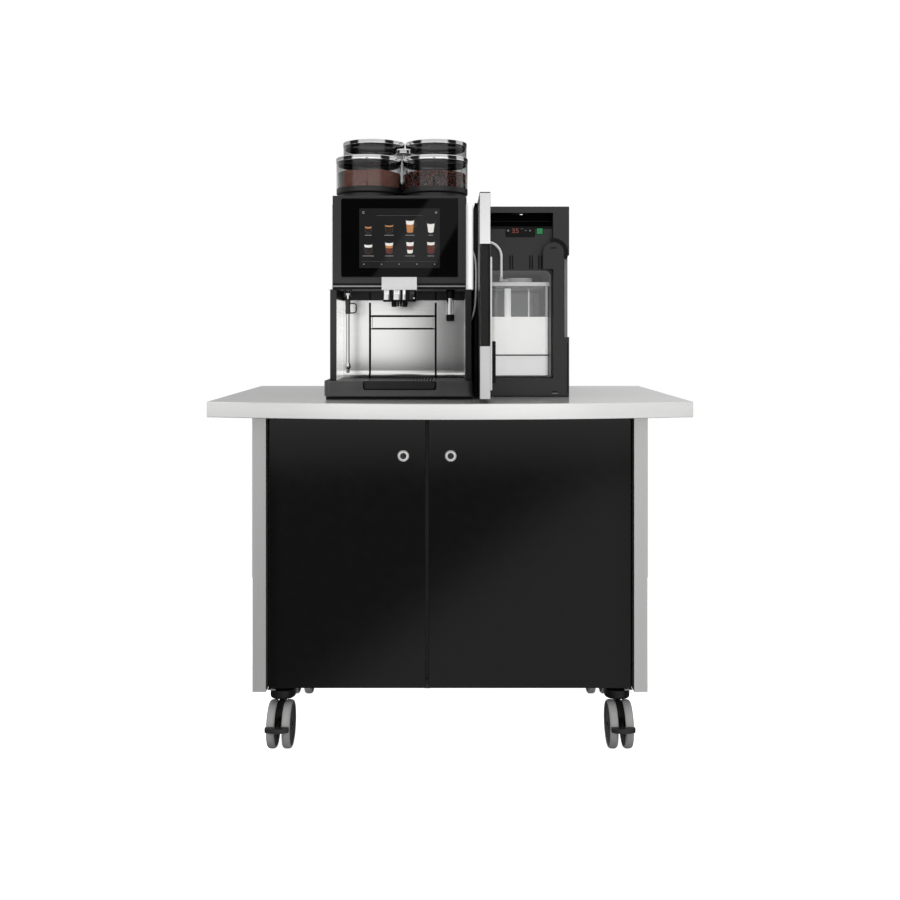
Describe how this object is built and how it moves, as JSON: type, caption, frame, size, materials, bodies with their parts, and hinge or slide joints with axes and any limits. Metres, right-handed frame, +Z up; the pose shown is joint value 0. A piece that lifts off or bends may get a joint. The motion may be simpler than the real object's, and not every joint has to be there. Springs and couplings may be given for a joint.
{
  "type": "coffee cart",
  "caption": "Steel-topped cabinet on braked twin-wheel casters that carries a bean-to-cup coffee machine with clear hoppers and a milk cooler with its door open.",
  "frame": {"origin": "on the floor, under the middle of the worktop's box", "axes": "+X to the user's right, +Y away from the user, +Z up"},
  "size_m": [1.25, 0.83, 1.675],
  "materials": {
    "brushed_steel": "brushed stainless",
    "core_board": "raw board",
    "dark_board": "satin laminate",
    "door_black": "satin laminate",
    "tank_plastic": "translucent white",
    "plain_steel": "satin",
    "chrome": "polished",
    "black_metal": "satin black",
    "black_plastic": "satin",
    "grey_tread": "matte",
    "gloss_black": "gloss",
    "display_glass": "black glass with a lit screen",
    "light_diffuser": "lit white",
    "clear_plastic": "clear",
    "beans": "oily roast",
    "cocoa": "powder",
    "works_metal": "mill finish",
    "cooler_grey": "satin",
    "silver_door": "silver paint",
    "white_rubber": "soft white",
    "switch_green": "lit green",
    "white_plastic": "satin"
  },
  "bodies": {
    "cart": {"worktop_skin": "brushed_steel", "worktop_core": "core_board", "side_panels": "brushed_steel", "floor_panel": "dark_board", "back_panel": "dark_board", "top_rails": "brushed_steel", "divider": "dark_board", "water_tanks": "tank_plastic", "door_pivots": "plain_steel", "caster_mounts": "plain_steel", "machine_base": "black_plastic", "machine_body": "black_plastic", "backsplash": "brushed_steel", "display_housing": "gloss_black", "display_glass": "display_glass", "side_lights": "light_diffuser", "hot_water_spout": "chrome", "hopper_feet": "black_plastic", "hoppers": "clear_plastic", "coffee_beans": "beans", "cocoa_powder": "cocoa", "brew_unit": "works_metal", "cooler_housing": "cooler_grey", "cooler_liner": "cooler_grey", "cooling_unit": "works_metal", "milk_hose": "white_rubber"},
    "door_left": {"door_left": "door_black", "lock_body_left": "chrome"},
    "door_right": {"door_right": "door_black", "lock_body_right": "chrome"},
    "lock_left": {"lock_plug_left": "chrome"},
    "lock_right": {"lock_plug_right": "chrome"},
    "fork_front_left": {"fork_front_left": "black_metal"},
    "wheels_front_left": {"wheels_front_left": "grey_tread"},
    "pedal_front_left": {"pedal_front_left": "black_plastic"},
    "fork_front_right": {"fork_front_right": "black_metal"},
    "wheels_front_right": {"wheels_front_right": "grey_tread"},
    "pedal_front_right": {"pedal_front_right": "black_plastic"},
    "fork_rear_left": {"fork_rear_left": "black_metal"},
    "wheels_rear_left": {"wheels_rear_left": "grey_tread"},
    "pedal_rear_left": {"pedal_rear_left": "black_plastic"},
    "fork_rear_right": {"fork_rear_right": "black_metal"},
    "wheels_rear_right": {"wheels_rear_right": "grey_tread"},
    "pedal_rear_right": {"pedal_rear_right": "black_plastic"},
    "drip_tray": {"drip_tray": "black_plastic"},
    "drip_grille": {"drip_grille": "plain_steel"},
    "grounds_drawer": {"grounds_drawer": "brushed_steel"},
    "cup_shelf": {"cup_shelf": "brushed_steel"},
    "spout_head": {"spout_head": "chrome"},
    "steam_wand": {"steam_wand": "chrome"},
    "lid_front_left": {"lid_front_left": "chrome"},
    "lid_front_right": {"lid_front_right": "chrome"},
    "lid_rear_left": {"lid_rear_left": "chrome"},
    "lid_rear_right": {"lid_rear_right": "chrome"},
    "hopper_lock": {"hopper_lock": "chrome"},
    "cooler_door": {"cooler_door": "silver_door", "door_gasket": "white_rubber"},
    "rocker_switch": {"rocker_switch": "switch_green"},
    "milk_container": {"milk_container": "clear_plastic", "milk_lid": "white_plastic"}
  },
  "joints": [
    {"name": "door_left_hinge", "type": "hinge", "parent": "cart", "child": "door_left", "pos_m": [-0.4735, -0.243, 0.5], "axis": [0, 0, -1], "range_deg": [0, 95]},
    {"name": "door_right_hinge", "type": "hinge", "parent": "cart", "child": "door_right", "pos_m": [0.4735, -0.243, 0.5], "axis": [0, 0, 1], "range_deg": [0, 95]},
    {"name": "lock_left_turn", "type": "hinge", "parent": "door_left", "child": "lock_left", "pos_m": [-0.124, -0.235, 0.79], "axis": [0, -1, 0], "range_deg": [0, 90]},
    {"name": "lock_right_turn", "type": "hinge", "parent": "door_right", "child": "lock_right", "pos_m": [0.002, -0.235, 0.79], "axis": [0, 1, 0], "range_deg": [0, 90]},
    {"name": "swivel_front_left", "type": "hinge", "parent": "cart", "child": "fork_front_left", "pos_m": [-0.455, -0.16, 0.15], "axis": [0, 0, 1], "continuous": true},
    {"name": "roll_front_left", "type": "hinge", "parent": "fork_front_left", "child": "wheels_front_left", "pos_m": [-0.455, -0.205, 0.0625], "axis": [1, 0, 0], "continuous": true},
    {"name": "brake_front_left", "type": "hinge", "parent": "fork_front_left", "child": "pedal_front_left", "pos_m": [-0.455, -0.2355, 0.0745], "axis": [1, 0, 0], "range_deg": [0, 15]},
    {"name": "swivel_front_right", "type": "hinge", "parent": "cart", "child": "fork_front_right", "pos_m": [0.455, -0.16, 0.15], "axis": [0, 0, 1], "continuous": true},
    {"name": "roll_front_right", "type": "hinge", "parent": "fork_front_right", "child": "wheels_front_right", "pos_m": [0.455, -0.205, 0.0625], "axis": [1, 0, 0], "continuous": true},
    {"name": "brake_front_right", "type": "hinge", "parent": "fork_front_right", "child": "pedal_front_right", "pos_m": [0.455, -0.2355, 0.0745], "axis": [1, 0, 0], "range_deg": [0, 15]},
    {"name": "swivel_rear_left", "type": "hinge", "parent": "cart", "child": "fork_rear_left", "pos_m": [-0.455, 0.251, 0.15], "axis": [0, 0, 1], "continuous": true},
    {"name": "roll_rear_left", "type": "hinge", "parent": "fork_rear_left", "child": "wheels_rear_left", "pos_m": [-0.455, 0.206, 0.0625], "axis": [1, 0, 0], "continuous": true},
    {"name": "brake_rear_left", "type": "hinge", "parent": "fork_rear_left", "child": "pedal_rear_left", "pos_m": [-0.455, 0.1755, 0.0745], "axis": [1, 0, 0], "range_deg": [0, 15]},
    {"name": "swivel_rear_right", "type": "hinge", "parent": "cart", "child": "fork_rear_right", "pos_m": [0.455, 0.251, 0.15], "axis": [0, 0, 1], "continuous": true},
    {"name": "roll_rear_right", "type": "hinge", "parent": "fork_rear_right", "child": "wheels_rear_right", "pos_m": [0.455, 0.206, 0.0625], "axis": [1, 0, 0], "continuous": true},
    {"name": "brake_rear_right", "type": "hinge", "parent": "fork_rear_right", "child": "pedal_rear_right", "pos_m": [0.455, 0.1755, 0.0745], "axis": [1, 0, 0], "range_deg": [0, 15]},
    {"name": "tray_slide", "type": "slide", "parent": "cart", "child": "drip_tray", "axis": [0, -1, 0], "range_m": [0, 0.15]},
    {"name": "grille_lift", "type": "slide", "parent": "drip_tray", "child": "drip_grille", "axis": [0, 0, 1], "range_m": [0, 0.12]},
    {"name": "drawer_slide", "type": "slide", "parent": "cart", "child": "grounds_drawer", "axis": [0, -1, 0], "range_m": [0, 0.13]},
    {"name": "shelf_fold", "type": "hinge", "parent": "grounds_drawer", "child": "cup_shelf", "pos_m": [-0.133, -0.078, 1.131], "axis": [1, 0, 0], "range_deg": [0, 90]},
    {"name": "spout_height", "type": "slide", "parent": "cart", "child": "spout_head", "axis": [0, 0, 1], "range_m": [-0.09, 0]},
    {"name": "wand_swing", "type": "hinge", "parent": "cart", "child": "steam_wand", "pos_m": [-0.275, -0.21, 1.222], "axis": [-1, 0, 0], "range_deg": [0, 40]},
    {"name": "lid_lift_front_left", "type": "slide", "parent": "cart", "child": "lid_front_left", "axis": [0, 0, 1], "range_m": [0, 0.06]},
    {"name": "lid_lift_front_right", "type": "slide", "parent": "cart", "child": "lid_front_right", "axis": [0, 0, 1], "range_m": [0, 0.06]},
    {"name": "lid_lift_rear_left", "type": "slide", "parent": "cart", "child": "lid_rear_left", "axis": [0, 0, 1], "range_m": [0, 0.06]},
    {"name": "lid_lift_rear_right", "type": "slide", "parent": "cart", "child": "lid_rear_right", "axis": [0, 0, 1], "range_m": [0, 0.06]},
    {"name": "hopper_lock_turn", "type": "hinge", "parent": "cart", "child": "hopper_lock", "pos_m": [-0.133, -0.028, 1.6], "axis": [0, 0, 1], "range_deg": [0, 90]},
    {"name": "cooler_door_hinge", "type": "hinge", "parent": "cart", "child": "cooler_door", "pos_m": [0.08, -0.171, 1.2], "axis": [0, 0, 1], "range_deg": [0, 90]},
    {"name": "rocker_tip", "type": "hinge", "parent": "cart", "child": "rocker_switch", "pos_m": [0.249, -0.122, 1.399], "axis": [-1, 0, 0], "range_deg": [0, 12]},
    {"name": "container_slide", "type": "slide", "parent": "cart", "child": "milk_container", "axis": [0, 1, 0], "range_m": [-0.25, 0]}
  ]
}
